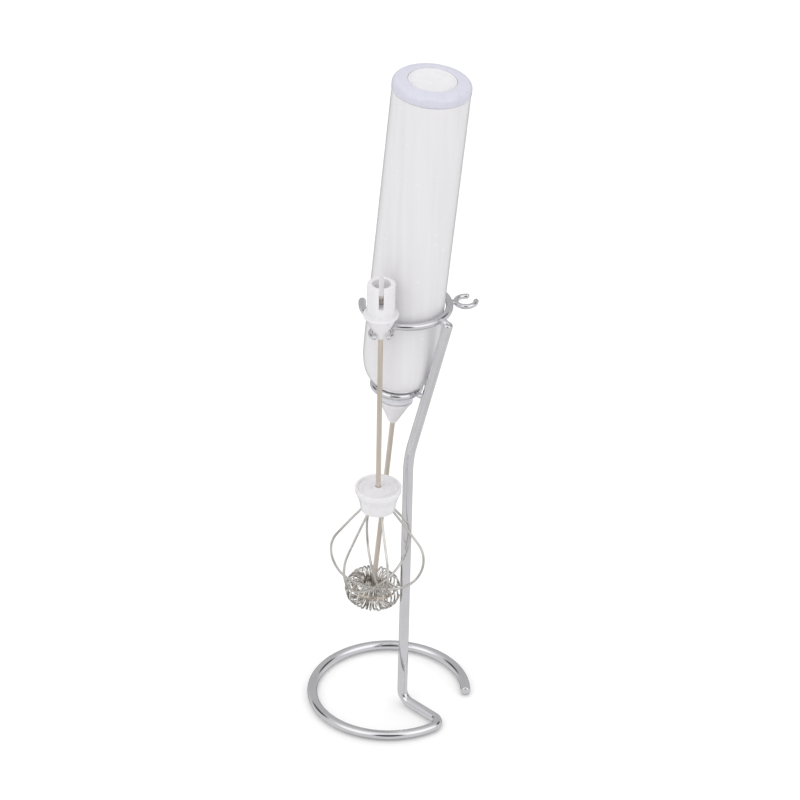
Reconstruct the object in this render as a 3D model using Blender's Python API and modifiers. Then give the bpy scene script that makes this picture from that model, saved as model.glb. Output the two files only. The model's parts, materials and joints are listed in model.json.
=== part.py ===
"""Handheld milk frother with a spare balloon whisk, in its wire stand.

Lengths in the constants below are millimetres; the builders turn them into
metres.  The stand's own frame has its origin on the floor at the centre of
the base ring, +X to the right and -Y to the front.  The frother and the
whisk are drawn upright in their own frames, with Z along their axes, and
two empties lean those frames into place.
"""

from math import asin, cos, degrees, pi, radians, sin

import bmesh
import bpy
from mathutils import Matrix, Vector

MM = 0.001
GAP = 0.3

# Stand: one bent wire for the base ring and the post, and welded wire rings.
BASE_RING_R = 32.0
BASE_WIRE_R = 2.0
BASE_FREE_END = -3.0          # azimuth of the ring's free end, degrees
BASE_SPOKE = 314.0            # azimuth of the spoke, degrees
BASE_BEND_R = 4.5
POST_FOOT_R = 8.0
FOOT_BEND_R = 4.5
KNEE_BEND_R = 60.0
KNEE = Vector((8.1, -8.5, 123.2))
POST_TIP = Vector((23.7, -16.8, 191.2))
UPPER_RING = Vector((7.1, -2.0, 191.1))
UPPER_RING_R = 17.3
UPPER_RING_ENDS = (171.0, 392.0)    # azimuths of its free ends; the gap is behind
LOWER_RING = Vector((3.4, -2.0, 153.7))
LOWER_RING_R = 9.2
RING_WIRE_R = 1.45
UPPER_TILT = 2.0              # degrees, right side down
LOWER_TILT = 4.5
WELD_R = 1.2
HOOK_WIRE_R = 1.0
LEFT_HOOK_R = 4.25
RIGHT_HOOK_R = 4.0
LEFT_HOOK_AZ = 246.9          # direction from the upper ring's centre
RIGHT_HOOK_AZ = 9.0
LEFT_HOOK_GAP = (-90.0, 54.0)     # centre and width of the opening, degrees
RIGHT_HOOK_GAP = (43.0, 54.0)

# Frother: leans to the right through both rings.
LEAN = 5.7
FROTHER_AT = Vector((7.33, -2.0, 191.27))
BODY_TOP = 96.6
BODY_TOP_R = 15.42
BODY_MID_R = 15.1
SHOULDER = -13.0
SHOULDER_R = 15.15
SHOULDER_DEPTH = 23.85
SHOULDER_POWER = 3.6          # fuller than an ellipse, which is 2
BODY_BOTTOM = -35.8
WALL = 1.6
NOSE_BOTTOM = -43.35
NOSE_R = 7.2
CAP_TOP = 101.0
CAP_R = 15.6
BUTTON_R = 9.6
CAP_LEDGE = 98.6              # the button's flange stops under it
SKIRT_BOTTOM = 90.4
SKIRT_BORE_R = 11.9
SWITCH_PLATE = 91.0
PLATE_THICK = 1.2
BUTTON_FLANGE_R = 11.4
BUTTON_STEM = 94.6            # stem's lower end, above the leaf
BUTTON_SPRING = 92.5
MOTOR_R = 10.0
MOTOR_BOTTOM = -27.4
MOTOR_TOP = -4.0
MOTOR_BOSS_R = 3.0
BOSS_LENGTH = 1.0
MOTOR_BORE_DEPTH = 18.0
END_CAP_R = 9.4
END_CAP_THICK = 2.2
SEAT_R = 12.6
SEAT_BOTTOM = -16.0
SEAT_TOP = -8.0
TRAY_R = 13.05
TRAY_BOTTOM = 40.8
TRAY_TOP = 88.0
CELL_R = 5.25
CELL_BOTTOM = 45.0
CELL_LENGTH = 44.5
CELL_OFFSET = 5.75
NUB_R = 1.9
NUB_LENGTH = 1.0
CONTACT_WIRE_R = 0.25
LEAD_R = 0.6

# Attachments: both have the same slotted collar and shaft.
COLLAR_TOP = 13.7             # sleeve rim above the flange's rim
SLEEVE_R = 5.5
SLEEVE_BORE_R = 3.7
SLOT_WIDTH = 1.9
SLOT_DEPTH = 9.0
FLANGE_R = 7.2
CONE_LENGTH = 11.1
CONE_TIP_WALL = 0.5          # left round the shaft's hole at the tip
SHAFT_R = 1.0
SHAFT_STUB = 7.2              # shaft end above the flange's rim
SPINDLE_R = 3.3
COIL_FLANGE = -44.0           # flange rim along the frother's axis
COIL_CENTRE = -137.1
COIL_OUTER_R = 11.55
COIL_HALF_WIDTH = 3.7
COIL_HALF_HEIGHT = 5.0
COIL_WIRE_R = 0.32
COIL_TURNS = 26
COIL_SPOKE_GAP = 36.0         # degrees left open round the spoke

WHISK_LEAN = 0.9
WHISK_AT = Vector((-2.6, -24.3, 200.4))   # flange rim's centre
HUB_TOP = -80.7
HUB_BOTTOM = -91.4
HUB_TOP_R = 9.4
HUB_WAIST_R = 7.8
HUB_BOTTOM_R = 6.8
LOOP_WIRE_R = 0.49
LOOP_AZIMUTHS = (-12.0, 46.0, 103.0)
LOOP_STACK = 1.35             # height between crossing loops
LOOP_PROFILE = (              # radius, depth below the hub
    (6.0, 0.4), (9.9, 5.2), (14.3, 11.2), (17.9, 16.6), (19.1, 21.9),
    (18.2, 27.7), (15.2, 33.1), (10.3, 36.9), (4.8, 38.5), (0.0, 38.9),
)


def clear_scene():
    for item in list(bpy.data.objects):
        bpy.data.objects.remove(item, do_unlink=True)


def new_collection(name, colour):
    made = bpy.data.collections.new(name)
    made.color_tag = colour
    bpy.context.scene.collection.children.link(made)
    return made


def material(name, colour, metallic, roughness):
    made = bpy.data.materials.new(name)
    made.use_nodes = True
    shader = made.node_tree.nodes["Principled BSDF"]
    shader.inputs["Base Color"].default_value = (*colour, 1.0)
    shader.inputs["Metallic"].default_value = metallic
    shader.inputs["Roughness"].default_value = roughness
    made.diffuse_color = (*colour, 1.0)
    return made


def empty(name, parent=None, at=(0, 0, 0), turn=(0, 0, 0)):
    """A frame that parts hang on; place in millimetres, turn in degrees."""
    made = bpy.data.objects.new(name, None)
    PARTS.objects.link(made)
    made.parent = parent
    made.location = Vector(at) * MM
    made.rotation_euler = [radians(angle) for angle in turn]
    return made


def place(item, parent, look, at=(0, 0, 0), turn=(0, 0, 0)):
    """Give a part its frame, place and material; None marks a cutter."""
    (CUTTERS if look is None else PARTS).objects.link(item)
    item.parent = parent
    item.location = Vector(at) * MM
    item.rotation_euler = [radians(angle) for angle in turn]
    if look is None:
        item.hide_render = True
        item.display_type = "WIRE"
    else:
        item.data.materials.append(look)
    return item


def arc(radius, start, end, steps, centre=(0.0, 0.0)):
    """Points of an arc in a plane, angles in degrees."""
    turns = [radians(start + (end - start) * k / steps) for k in range(steps + 1)]
    return [(centre[0] + radius * cos(a), centre[1] + radius * sin(a)) for a in turns]


def lathe(name, outline, parent, look, at=(0, 0, 0), steps=36):
    """Solid of revolution about Z from (radius, height) points.

    The outline runs down the outer side.  It starts and ends on the axis, or
    closes on itself round a bore.
    """
    mesh = bpy.data.meshes.new(name)
    count = len(outline)
    edges = [(k, k + 1) for k in range(count - 1)]
    if min(radius for radius, height in outline) > 0:
        edges.append((count - 1, 0))
    mesh.from_pydata([(r * MM, 0.0, z * MM) for r, z in outline], edges, [])
    item = place(bpy.data.objects.new(name, mesh), parent, look, at)
    screw = item.modifiers.new("Revolve", "SCREW")
    screw.steps = screw.render_steps = steps
    screw.use_merge_vertices = True
    screw.merge_threshold = 1e-6
    return item


def disc_outline(radius, bottom, top, bore=0.0, edge=0.0):
    """Outline of a flat disc or ring, with rounded outer edges if asked."""
    if edge:
        upper = arc(edge, 90, 0, 3, (radius - edge, top - edge))
        lower = arc(edge, 0, -90, 3, (radius - edge, bottom + edge))
        outer = upper + lower
    else:
        outer = [(radius, top), (radius, bottom)]
    if bore:
        return outer + [(bore, bottom), (bore, top)]
    return [(0.0, top)] + outer + [(0.0, bottom)]


def wire(name, points, radius, parent, look, sides=8, tilt=0.0, at=(0, 0, 0), closed=False):
    """Round wire along the points; the sides are 8, 10 or 12."""
    curve = bpy.data.curves.new(name, "CURVE")
    curve.dimensions = "3D"
    curve.bevel_depth = radius * MM
    curve.bevel_resolution = (sides - 4) // 2
    curve.use_fill_caps = not closed
    spline = curve.splines.new("POLY")
    spline.points.add(len(points) - 1)
    for spot, point in zip(spline.points, points):
        spot.co = (*(Vector(point) * MM), 1.0)
        spot.tilt = radians(tilt)
    spline.use_cyclic_u = closed
    spline.use_smooth = True
    return place(bpy.data.objects.new(name, curve), parent, look, at)


def box(name, size, parent, look, at=(0, 0, 0), turn=(0, 0, 0), edge=0.0):
    """Box of the given size about its own centre, with rounded edges if asked."""
    mesh = bpy.data.meshes.new(name)
    cage = bmesh.new()
    bmesh.ops.create_cube(cage, size=MM, matrix=Matrix.Diagonal((*size, 1.0)))
    cage.to_mesh(mesh)
    cage.free()
    item = place(bpy.data.objects.new(name, mesh), parent, look, at, turn)
    if edge:
        bevel = item.modifiers.new("Edges", "BEVEL")
        bevel.width = edge * MM
        bevel.segments = 2
    return item


def cut(item, cutter, operation="DIFFERENCE"):
    """Cut a cutter out of a part, or join it on."""
    boolean = item.modifiers.new(cutter.name, "BOOLEAN")
    boolean.operation = operation
    boolean.object = cutter


def meshed(item):
    """Turn a wire into a mesh of its own, so that it can be cut or joined."""
    graph = bpy.context.evaluated_depsgraph_get()
    mesh = bpy.data.meshes.new_from_object(item.evaluated_get(graph))
    cage = bmesh.new()
    cage.from_mesh(mesh)
    bmesh.ops.remove_doubles(cage, verts=cage.verts, dist=1e-6)
    cage.to_mesh(mesh)
    cage.free()
    solid = bpy.data.objects.new(item.name, mesh)
    for group in list(item.users_collection):
        group.objects.link(solid)
    solid.parent = item.parent
    solid.location = item.location
    solid.rotation_euler = item.rotation_euler
    solid.hide_render = item.hide_render
    solid.display_type = item.display_type
    name = item.name
    bpy.data.objects.remove(item, do_unlink=True)
    solid.name = name
    return solid


def fillet(before, corner, after, radius, steps):
    """Points of the arc that rounds a corner of a path."""
    back = (before - corner).normalized()
    ahead = (after - corner).normalized()
    half = back.angle(ahead) / 2
    reach = radius / sin(half) * cos(half)
    start = corner + back * reach
    end = corner + ahead * reach
    centre = corner + (back + ahead).normalized() * (radius / sin(half))
    first = (start - centre).normalized()
    last = (end - centre).normalized()
    return [centre + first.slerp(last, k / steps) * radius for k in range(steps + 1)]


def smooth(points, steps):
    """Catmull-Rom curve through the points."""
    spots = [Vector(point) for point in points]
    spots = [spots[0] * 2 - spots[1]] + spots + [spots[-1] * 2 - spots[-2]]
    path = []
    for a, b, c, d in zip(spots, spots[1:], spots[2:], spots[3:]):
        for k in range(steps):
            t = k / steps
            path.append(0.5 * (2 * b + (c - a) * t + (2 * a - 5 * b + 4 * c - d) * t**2
                               + (3 * b - a - 3 * c + d) * t**3))
    return path + [spots[-2]]


def spring_path(radius, bottom, top, turns, steps=8):
    """Points of a helix about Z."""
    count = round(turns * steps)
    spots = []
    for k in range(count + 1):
        angle = 2 * pi * k / steps
        height = bottom + (top - bottom) * k / count
        spots.append((radius * cos(angle), radius * sin(angle), height))
    return spots


# ---------------------------------------------------------------- stand

def stand_wire():
    """Base ring, spoke, post and leaning neck, bent from one wire.

    The section is a twelve-sided one turned so that a flat side lies on the
    floor.
    """
    side_r = BASE_WIRE_R * cos(radians(15))
    reach = BASE_RING_R - BASE_BEND_R
    swing = degrees(asin(BASE_BEND_R / reach))
    ring_end = BASE_SPOKE - swing
    ring_steps = 46
    path = []
    for k in range(ring_steps + 1):
        angle = radians(BASE_FREE_END + (ring_end - BASE_FREE_END) * k / ring_steps)
        path.append(Vector((BASE_RING_R * cos(angle), BASE_RING_R * sin(angle), side_r)))
    centre = Vector((cos(radians(ring_end)), sin(radians(ring_end)), 0)) * reach
    centre.z = side_r
    for k in range(1, 7):
        angle = radians(ring_end + (90 + swing) * k / 6)
        path.append(centre + Vector((cos(angle), sin(angle), 0)) * BASE_BEND_R)
    outward = Vector((cos(radians(BASE_SPOKE)), sin(radians(BASE_SPOKE)), 0))
    foot = outward * POST_FOOT_R + Vector((0, 0, side_r))
    path += fillet(path[-1], foot, KNEE, FOOT_BEND_R, 6)
    path += fillet(foot, KNEE, POST_TIP, KNEE_BEND_R, 6)
    path.append(POST_TIP)
    wire("stand_wire", path, BASE_WIRE_R, STAND, CHROME, sides=12, tilt=15.0)


def ring(name, centre, radius, wire_r, tilt, steps=40):
    """Closed wire ring, tipped about the Y axis."""
    outline = arc(wire_r, 90, -225, 7, (radius, 0.0))
    item = lathe(name, outline, STAND, CHROME, centre, steps)
    item.rotation_euler = (0.0, radians(tilt), 0.0)
    return item


def open_ring(name, centre, radius, wire_r, tilt, ends):
    """Wire ring with two free ends, tipped about the Y axis."""
    points = [(x, y, 0.0) for x, y in arc(radius, *ends, 32)]
    item = wire(name, points, wire_r, STAND, CHROME, sides=10, at=centre)
    item.rotation_euler = (0.0, radians(tilt), 0.0)


def weld(owner, start, end, radius):
    """Join a short weld bead to a ring, from its wire towards the post."""
    stub = wire(owner.name + "_weld", [start, start.lerp(end, 0.5), end], radius, STAND, None)
    cut(owner, meshed(stub), "UNION")


def hook_centre(azimuth, radius):
    """Centre of a hook that touches the upper ring, less the usual gap."""
    away = UPPER_RING_R + RING_WIRE_R + GAP + HOOK_WIRE_R + radius
    angle = radians(azimuth)
    drop = sin(radians(UPPER_TILT)) * away * cos(angle)
    return UPPER_RING + Vector((away * cos(angle), away * sin(angle), -drop))


def hook(name, azimuth, radius, opening):
    """Wire hook: a flat ring with a gap."""
    middle, width = opening
    spots = arc(radius, middle + width / 2, middle + 360 - width / 2, 20)
    points = [(x, y, 0.0) for x, y in spots]
    wire(name, points, HOOK_WIRE_R, STAND, CHROME, at=hook_centre(azimuth, radius))


def build_stand():
    stand_wire()
    open_ring("upper_ring", UPPER_RING, UPPER_RING_R, RING_WIRE_R, UPPER_TILT, UPPER_RING_ENDS)
    lower = ring("lower_ring", LOWER_RING, LOWER_RING_R, RING_WIRE_R, LOWER_TILT, 32)
    lean = (POST_TIP - KNEE).normalized()
    beside = KNEE + lean * ((LOWER_RING.z - KNEE.z) / lean.z)
    inward = (LOWER_RING - beside).normalized()
    post_side = beside + inward * (BASE_WIRE_R + GAP)
    weld(lower, LOWER_RING - inward * LOWER_RING_R, post_side, WELD_R)
    hook("left_hook", LEFT_HOOK_AZ, LEFT_HOOK_R, LEFT_HOOK_GAP)
    hook("right_hook", RIGHT_HOOK_AZ, RIGHT_HOOK_R, RIGHT_HOOK_GAP)


# -------------------------------------------------------------- handle

def body_radius(height):
    """Outer radius of the housing: a slight taper, then a rounded shoulder."""
    if height > 0:
        return BODY_MID_R + (BODY_TOP_R - BODY_MID_R) * height / BODY_TOP
    if height > SHOULDER:
        return BODY_MID_R + (SHOULDER_R - BODY_MID_R) * height / SHOULDER
    drop = (SHOULDER - height) / SHOULDER_DEPTH
    return SHOULDER_R * (1 - drop**SHOULDER_POWER) ** (1 / SHOULDER_POWER)


def housing():
    """Seamless tube with a bowl-shaped lower end and a hole for the nose."""
    shoulder_end = BODY_BOTTOM + 1.0
    heights = [BODY_TOP, 0.0, SHOULDER]
    heights += [SHOULDER + (shoulder_end - SHOULDER) * (k / 7) ** 0.5 for k in range(1, 8)]
    outer = [(body_radius(z), z) for z in heights]
    last = outer[-1][0]
    outer += [(last - 0.5, BODY_BOTTOM + 0.35), (last - 1.5, BODY_BOTTOM)]
    hole = NOSE_R + GAP
    inner = [(hole, BODY_BOTTOM), (hole, BODY_BOTTOM + WALL)]
    inner += [(last - 1.7, BODY_BOTTOM + WALL)]
    inner += [(body_radius(z) - WALL, z) for z in reversed(heights[:-2])]
    lathe("housing", outer + inner, HANDLE, WHITE, steps=44)


def nose_collar():
    """Bushing in the housing's end: a tube with a flange inside."""
    flange = BODY_BOTTOM + WALL + GAP
    bore = SLEEVE_R + 0.35
    outline = [(8.3, flange + 1.4), (8.3, flange), (NOSE_R, flange), (NOSE_R, NOSE_BOTTOM + 0.5)]
    outline += [(NOSE_R - 0.5, NOSE_BOTTOM), (bore, NOSE_BOTTOM), (bore, flange + 1.4)]
    lathe("nose_collar", outline, HANDLE, FROSTED, steps=32)


def motor():
    """Motor can with a blind axial bore, its end cap and its seat."""
    boss = MOTOR_BOTTOM - BOSS_LENGTH
    bore = SHAFT_R + GAP
    can = [(0.0, MOTOR_TOP)] + arc(1.0, 90, 0, 3, (MOTOR_R - 1.0, MOTOR_TOP - 1.0))
    can += arc(1.0, 0, -90, 3, (MOTOR_R - 1.0, MOTOR_BOTTOM + 1.0))
    can += [(MOTOR_BOSS_R, MOTOR_BOTTOM), (MOTOR_BOSS_R, boss), (bore, boss)]
    can += [(bore, MOTOR_BOTTOM + MOTOR_BORE_DEPTH), (0.0, MOTOR_BOTTOM + MOTOR_BORE_DEPTH)]
    lathe("motor_can", can, HANDLE, STEEL, steps=24)
    bottom = MOTOR_TOP + GAP
    end_cap = disc_outline(END_CAP_R, bottom, bottom + END_CAP_THICK)
    lathe("motor_end_cap", end_cap, HANDLE, BLACK, steps=24)
    seat = disc_outline(SEAT_R, SEAT_BOTTOM, SEAT_TOP, MOTOR_R + GAP)
    lathe("motor_seat", seat, HANDLE, GREY, steps=32)


def cell(name, x, nub_up):
    """Round cell with its nub at the top or at the bottom."""
    base, top = CELL_BOTTOM, CELL_BOTTOM + CELL_LENGTH
    upper = top - NUB_LENGTH if nub_up else top
    lower = base if nub_up else base + NUB_LENGTH
    edge = 0.6
    can = arc(edge, 90, 0, 2, (CELL_R - edge, upper - edge))
    can += arc(edge, 0, -90, 2, (CELL_R - edge, lower + edge))
    if nub_up:
        outline = [(0.0, top), (NUB_R, top), (NUB_R, upper)] + can + [(0.0, base)]
    else:
        outline = [(0.0, top)] + can + [(NUB_R, lower), (NUB_R, base), (0.0, base)]
    lathe(name, outline, HANDLE, CELL, (x, 0, 0), 20)


def cells():
    """Battery tray with two wells, the cells and the contacts under them."""
    floor = TRAY_BOTTOM + 1.2
    tray = lathe("battery_tray", disc_outline(TRAY_R, TRAY_BOTTOM, TRAY_TOP), HANDLE, GREY, steps=32)
    well = disc_outline(CELL_R + GAP, floor, TRAY_TOP + 5.0)
    for x in (-CELL_OFFSET, CELL_OFFSET):
        cut(tray, lathe(f"well_{x:+.0f}", well, HANDLE, None, (x, 0, 0), 20))
    cell("cell_left", -CELL_OFFSET, nub_up=False)
    cell("cell_right", CELL_OFFSET, nub_up=True)
    low = floor + GAP
    high = CELL_BOTTOM - GAP
    lathe("contact_plus", disc_outline(3.6, low, high), HANDLE, BRASS, (-CELL_OFFSET, 0, 0), 16)
    helix = spring_path(3.2, low + CONTACT_WIRE_R, high - CONTACT_WIRE_R, 3)
    wire("contact_minus", helix, CONTACT_WIRE_R, HANDLE, STEEL, at=(CELL_OFFSET, 0, 0))


def leads():
    """Two leads from the motor's end cap to the tray."""
    low = MOTOR_TOP + END_CAP_THICK + 2 * GAP
    high = TRAY_BOTTOM - GAP
    middle = (low + high) / 2
    for name, side, look in (("lead_plus", -1, RED), ("lead_minus", 1, BLACK)):
        route = [(side * 6.0, 0, low), (side * 6.0, 0, low + 5), (side * 8.0, side * 2.5, middle),
                 (side * CELL_OFFSET, 0, high - 6), (side * CELL_OFFSET, 0, high)]
        wire(name, smooth(route, 5), LEAD_R, HANDLE, look)


def build_handle():
    housing()
    nose_collar()
    motor()
    cells()
    leads()


# ----------------------------------------------------------------- cap

def cap_ring():
    """Lavender end ring with a skirt that plugs into the housing."""
    skirt_r = BODY_TOP_R - WALL - 0.35
    seam = BODY_TOP + GAP
    mouth = BUTTON_R + GAP
    outline = [(CAP_R - 2.4, CAP_TOP)] + arc(2.2, 82, 0, 5, (CAP_R - 2.2, CAP_TOP - 2.2))
    outline += [(CAP_R, seam), (skirt_r, seam), (skirt_r, SKIRT_BOTTOM)]
    outline += [(SKIRT_BORE_R, SKIRT_BOTTOM), (SKIRT_BORE_R, CAP_LEDGE)]
    outline += [(mouth, CAP_LEDGE), (mouth, CAP_TOP - 0.3), (mouth + 0.4, CAP_TOP)]
    lathe("cap_ring", outline, CAP, LAVENDER, steps=40)


def cap_contacts():
    """Plate across the skirt with the bridge below it and the leaf above it."""
    top = SWITCH_PLATE + PLATE_THICK
    plate = disc_outline(SKIRT_BORE_R - 0.4, SWITCH_PLATE, top)
    lathe("switch_plate", plate, CAP, GREY, steps=28)
    box("contact_bridge", (17.5, 6.0, 0.4), CAP, BRASS, (0, 0, SWITCH_PLATE - GAP - 0.2))
    box("switch_leaf", (7.0, 2.4, 0.3), CAP, BRASS, (0, 0, top + GAP + 0.15))


def button():
    """Dished push button with a retaining flange and a stem, on its spring."""
    rim = CAP_TOP
    flange = CAP_LEDGE - GAP
    web = flange - 0.4
    outline = [(BUTTON_R * k / 4, rim - 0.75 * (1 - (k / 4.6) ** 2)) for k in range(4)]
    outline += arc(0.7, 110, 0, 3, (BUTTON_R - 0.7, rim - 0.7))
    outline += [(BUTTON_R, flange), (BUTTON_FLANGE_R, flange), (BUTTON_FLANGE_R, flange - 1.2)]
    outline += [(9.2, flange - 1.2), (9.2, web), (1.5, web)]
    outline += [(1.5, BUTTON_STEM), (0.0, BUTTON_STEM)]
    lathe("button", outline, BUTTON, WHITE, steps=32)
    low, high = BUTTON_SPRING + CONTACT_WIRE_R, web - GAP - CONTACT_WIRE_R
    wire("button_spring", spring_path(4.5, low, high, 4), CONTACT_WIRE_R, CAP, STEEL)


# --------------------------------------------------------- attachments

def collar(name, parent, flange):
    """Slotted sleeve, flange and cone; the height is the flange rim's."""
    top = flange + COLLAR_TOP
    hole = SHAFT_R + GAP
    tip = flange - CONE_LENGTH
    outline = [(SLEEVE_R, top), (SLEEVE_R, flange + 0.3)]
    outline += [(FLANGE_R - 0.4, flange), (FLANGE_R, flange - 0.4)]
    outline += [(FLANGE_R - 0.35, flange - 0.9), (hole + CONE_TIP_WALL, tip), (hole, tip)]
    outline += [(hole, flange + 1.0), (SLEEVE_BORE_R, flange + 1.0), (SLEEVE_BORE_R, top)]
    item = lathe(name, outline, parent, WHITE, steps=28)
    height = SLOT_DEPTH + 3.0
    middle = top - SLOT_DEPTH + height / 2
    slot = box(name + "_slot", (SLOT_WIDTH, 20.0, height), parent, None, (0, 0, middle))
    cut(item, slot)


def build_rotor():
    """Motor shaft and the spindle that the attachment's sleeve grips."""
    top = MOTOR_BOTTOM - BOSS_LENGTH - 0.5
    bottom = COIL_FLANGE + SHAFT_STUB + 0.4
    outline = [(0.0, top), (SPINDLE_R, top), (SPINDLE_R, bottom + 0.4)]
    outline += [(SPINDLE_R - 0.4, bottom), (0.0, bottom)]
    item = lathe("drive_spindle", outline, ROTOR, GREY, steps=24)
    socket = disc_outline(SHAFT_R + GAP, bottom + 1.6, top + 2.0)
    cut(item, lathe("spindle_socket", socket, ROTOR, None, steps=16))
    shaft = disc_outline(SHAFT_R, bottom + 2.0, MOTOR_BOTTOM + 16.0)
    lathe("motor_shaft", shaft, ROTOR, STEEL, steps=16)


def build_coil():
    """Coil attachment: collar, a wire with a ring end, and the spring on it."""
    collar("coil_collar", COIL, COIL_FLANGE)
    ring_r = COIL_OUTER_R - COIL_WIRE_R - COIL_HALF_WIDTH
    bend, corner = 2.2, 2.0
    route = [(0, 0, COIL_FLANGE + SHAFT_STUB), (0, 0, COIL_CENTRE + bend)]
    route += [(bend * (1 - cos(a)), 0, COIL_CENTRE + bend * (1 - sin(a)))
              for a in (radians(22.5 * k) for k in range(1, 5))]
    route += [(ring_r - corner, 0, COIL_CENTRE)]
    start = degrees(asin(corner / (ring_r - corner)))
    route += [(x, y, COIL_CENTRE) for x, y in arc(corner, -60, 0, 2, (ring_r - corner, corner))]
    route += [(x, y, COIL_CENTRE) for x, y in arc(ring_r, start, 334, 28)]
    wire("coil_shaft", route, SHAFT_R, COIL, STEEL)
    steps = 8
    count = COIL_TURNS * steps
    spots = []
    for k in range(count + 1):
        turn = 2 * pi * k / steps
        around = radians(COIL_SPOKE_GAP / 2 + (360 - COIL_SPOKE_GAP) * k / count)
        reach = ring_r + COIL_HALF_WIDTH * cos(turn)
        height = COIL_CENTRE + COIL_HALF_HEIGHT * sin(turn)
        spots.append((reach * cos(around), reach * sin(around), height))
    wire("coil_spring", spots, COIL_WIRE_R, COIL, STEEL)


def whisk_hub():
    """Hub with a flared lip, a stepped recess and a raised boss."""
    bore = SHAFT_R + GAP
    top, bottom = HUB_TOP, HUB_BOTTOM
    outline = [(HUB_TOP_R - 0.5, top), (HUB_TOP_R, top - 0.4), (HUB_TOP_R - 0.3, top - 2.2)]
    outline += [(HUB_WAIST_R, top - 5.4), (HUB_BOTTOM_R, bottom + 0.6)]
    outline += [(HUB_BOTTOM_R - 0.6, bottom), (bore, bottom), (bore, top + 0.1)]
    outline += [(2.2, top + 0.1), (2.6, top - 0.7), (6.2, top - 1.0), (7.9, top - 0.8)]
    lathe("whisk_hub", outline, WHISK, WHITE, steps=32)


def whisk_loop(number, azimuth):
    """One loop of the balloon: down one side and up the other."""
    lift = LOOP_STACK * number
    depth = LOOP_PROFILE[-1][1]
    angle = radians(azimuth)
    half = [(r, HUB_BOTTOM - d * (depth - lift) / depth) for r, d in LOOP_PROFILE]
    profile = half + [(-r, z) for r, z in reversed(half[:-1])]
    points = [(r * cos(angle), r * sin(angle), z) for r, z in profile]
    wire(f"whisk_loop_{number + 1}", smooth(points, 2), LOOP_WIRE_R, WHISK, STEEL)


def build_whisk():
    collar("whisk_collar", WHISK, 0.0)
    shaft = disc_outline(SHAFT_R, HUB_BOTTOM - 0.4, SHAFT_STUB)
    lathe("whisk_shaft", shaft, WHISK, STEEL, steps=16)
    whisk_hub()
    for number, azimuth in enumerate(LOOP_AZIMUTHS):
        whisk_loop(number, azimuth)


def centre_on_bounds():
    """Move the whole object so that its box stands centred on the origin."""
    graph = bpy.context.evaluated_depsgraph_get()
    spots = []
    for item in PARTS.objects:
        if item.type == "EMPTY":
            continue
        solid = item.evaluated_get(graph)
        mesh = solid.to_mesh()
        spots += [solid.matrix_world @ vertex.co for vertex in mesh.vertices]
        solid.to_mesh_clear()
    for axis in range(2):
        values = [spot[axis] for spot in spots]
        STAND.location[axis] -= (min(values) + max(values)) / 2
    STAND.location[2] -= min(spot[2] for spot in spots)


clear_scene()
PARTS = new_collection("milk_frother", "COLOR_05")
CUTTERS = new_collection("cutters", "COLOR_01")

CHROME = material("chrome wire", (0.78, 0.79, 0.81), 1.0, 0.08)
STEEL = material("steel", (0.62, 0.59, 0.54), 1.0, 0.25)
WHITE = material("white plastic", (0.80, 0.79, 0.81), 0.0, 0.28)
LAVENDER = material("lavender plastic", (0.70, 0.72, 0.84), 0.0, 0.25)
FROSTED = material("frosted plastic", (0.66, 0.70, 0.76), 0.0, 0.35)
GREY = material("grey plastic", (0.35, 0.36, 0.38), 0.0, 0.5)
BLACK = material("black plastic", (0.03, 0.03, 0.03), 0.0, 0.5)
RED = material("red sleeve", (0.55, 0.04, 0.03), 0.0, 0.5)
BRASS = material("contact metal", (0.80, 0.68, 0.42), 1.0, 0.3)
CELL = material("cell sleeve", (0.10, 0.20, 0.35), 0.2, 0.4)

STAND = empty("stand")
HANDLE = empty("handle", STAND, FROTHER_AT, (0, LEAN, 0))
CAP = empty("cap", HANDLE)
BUTTON = empty("button_axis", CAP)
ROTOR = empty("rotor", HANDLE)
COIL = empty("coil_attachment", ROTOR)
WHISK = empty("whisk_attachment", STAND, WHISK_AT, (0, WHISK_LEAN, 0))

build_stand()
build_handle()
cap_ring()
cap_contacts()
button()
build_rotor()
build_coil()
build_whisk()
centre_on_bounds()
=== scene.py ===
"""Studio scene of the handheld milk frother in its wire stand.

The CAD frame gives every place: the joints' axes, the nodes' boxes and the
bodies that pieces ride on.  Profiles are in millimetres, in the frame of the
part they belong to, with Z along its axis.
"""

import json
from math import asin, ceil, cos, degrees, pi, radians, sin

import bmesh
import bpy
from mathutils import Matrix, Vector
from mathutils.noise import noise as smooth_noise


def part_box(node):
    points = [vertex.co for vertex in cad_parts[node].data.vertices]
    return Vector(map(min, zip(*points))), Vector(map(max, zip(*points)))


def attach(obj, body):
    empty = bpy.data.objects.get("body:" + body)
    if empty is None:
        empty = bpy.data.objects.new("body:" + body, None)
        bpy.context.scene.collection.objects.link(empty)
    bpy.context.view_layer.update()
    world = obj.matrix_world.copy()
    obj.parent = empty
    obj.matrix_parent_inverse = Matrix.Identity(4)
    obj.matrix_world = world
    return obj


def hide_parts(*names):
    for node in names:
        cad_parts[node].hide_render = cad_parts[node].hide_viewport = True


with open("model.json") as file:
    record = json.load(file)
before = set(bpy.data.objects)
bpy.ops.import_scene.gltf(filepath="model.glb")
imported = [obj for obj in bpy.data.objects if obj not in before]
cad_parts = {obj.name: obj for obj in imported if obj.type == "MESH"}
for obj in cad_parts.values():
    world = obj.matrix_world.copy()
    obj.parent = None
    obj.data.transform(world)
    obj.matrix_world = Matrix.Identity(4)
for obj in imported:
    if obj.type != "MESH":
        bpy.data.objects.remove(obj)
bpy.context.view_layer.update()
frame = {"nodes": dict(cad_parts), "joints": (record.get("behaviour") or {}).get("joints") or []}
MM = 0.001


# ------------------------------------------------------------- frames

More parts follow.
